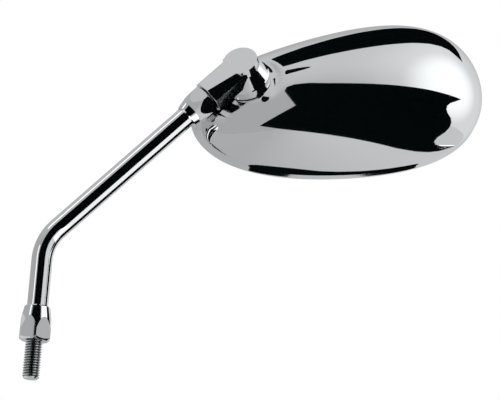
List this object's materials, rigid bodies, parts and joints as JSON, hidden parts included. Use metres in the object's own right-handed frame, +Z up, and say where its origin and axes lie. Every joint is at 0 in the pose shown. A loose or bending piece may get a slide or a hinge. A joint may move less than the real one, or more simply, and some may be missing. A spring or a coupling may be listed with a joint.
{
  "type": "motorcycle mirror",
  "caption": "Chrome teardrop motorcycle mirror on a bent round stem with a threaded stud, tapered lock nuts and a swivelling knuckle.",
  "frame": {"origin": "centre of the plane where the lower nut seats, on the stud's axis", "axes": "+Z up along the stud, the stem bends in the XZ plane towards +X, the head's chromed back faces -Y and its glass +Y"},
  "size_m": [0.2548, 0.0757, 0.239],
  "materials": {
    "chrome_rod": "polished chrome plate on steel",
    "chrome_nut": "polished chrome plate on steel",
    "chrome_casting": "polished chrome plate on a zinc die casting",
    "chrome_shell": "polished chrome plate on a moulded shell",
    "zinc_steel": "zinc plated",
    "spring_steel": "oiled spring steel",
    "nylon": "moulded nylon",
    "black_plastic": "moulded, fine grain",
    "foam": "closed-cell adhesive foam",
    "black_rubber": "moulded rubber",
    "mirror_glass": "silvered convex glass"
  },
  "bodies": {
    "arm": {"stem": "chrome_rod"},
    "lower_nut": {"lower_lock_nut": "chrome_nut"},
    "upper_nut": {"upper_lock_nut": "chrome_nut"},
    "knuckle": {"knuckle": "chrome_casting", "pivot_bolt": "zinc_steel", "pivot_nut": "zinc_steel", "nut_insert": "nylon"},
    "spring_stack": {"seat_ring": "black_plastic", "pressure_cup": "zinc_steel", "disc_spring_1": "spring_steel", "disc_spring_2": "spring_steel", "thrust_washer": "zinc_steel"},
    "liner": {"inner_liner": "nylon"},
    "head": {"housing": "chrome_shell", "backplate": "black_plastic", "backplate_screw_1": "zinc_steel", "backplate_screw_2": "zinc_steel", "backplate_screw_3": "zinc_steel", "foam_pad": "foam", "glass": "mirror_glass", "rim_seal": "black_rubber"}
  },
  "joints": [
    {"name": "lower_nut_turn", "type": "hinge", "parent": "arm", "child": "lower_nut", "pos_m": [0, 0, 0.005], "axis": [0, 0, 1], "range_deg": [-180, 180]},
    {"name": "upper_nut_turn", "type": "hinge", "parent": "arm", "child": "upper_nut", "pos_m": [0.08533, 0, 0.15112], "axis": [0.6756, 0, 0.7373], "range_deg": [-180, 180]},
    {"name": "knuckle_swivel", "type": "hinge", "parent": "arm", "child": "knuckle", "pos_m": [0.09026, 0, 0.1565], "axis": [0.6756, 0, 0.7373], "range_deg": [-45, 45]},
    {"name": "head_turn", "type": "hinge", "parent": "knuckle", "child": "spring_stack", "pos_m": [0.12445, 0.04884, 0.14129], "axis": [-0.3465, -0.8028, 0.4852], "range_deg": [-20, 20]},
    {"name": "head_tilt_up", "type": "hinge", "parent": "spring_stack", "child": "liner", "pos_m": [0.12445, 0.04884, 0.14129], "axis": [-0.724, -0.1, -0.6825], "range_deg": [-2.2, 2.2]},
    {"name": "head_tilt_side", "type": "hinge", "parent": "liner", "child": "head", "pos_m": [0.12445, 0.04884, 0.14129], "axis": [0.5965, -0.5878, -0.5466], "range_deg": [-2, 2.2]}
  ]
}
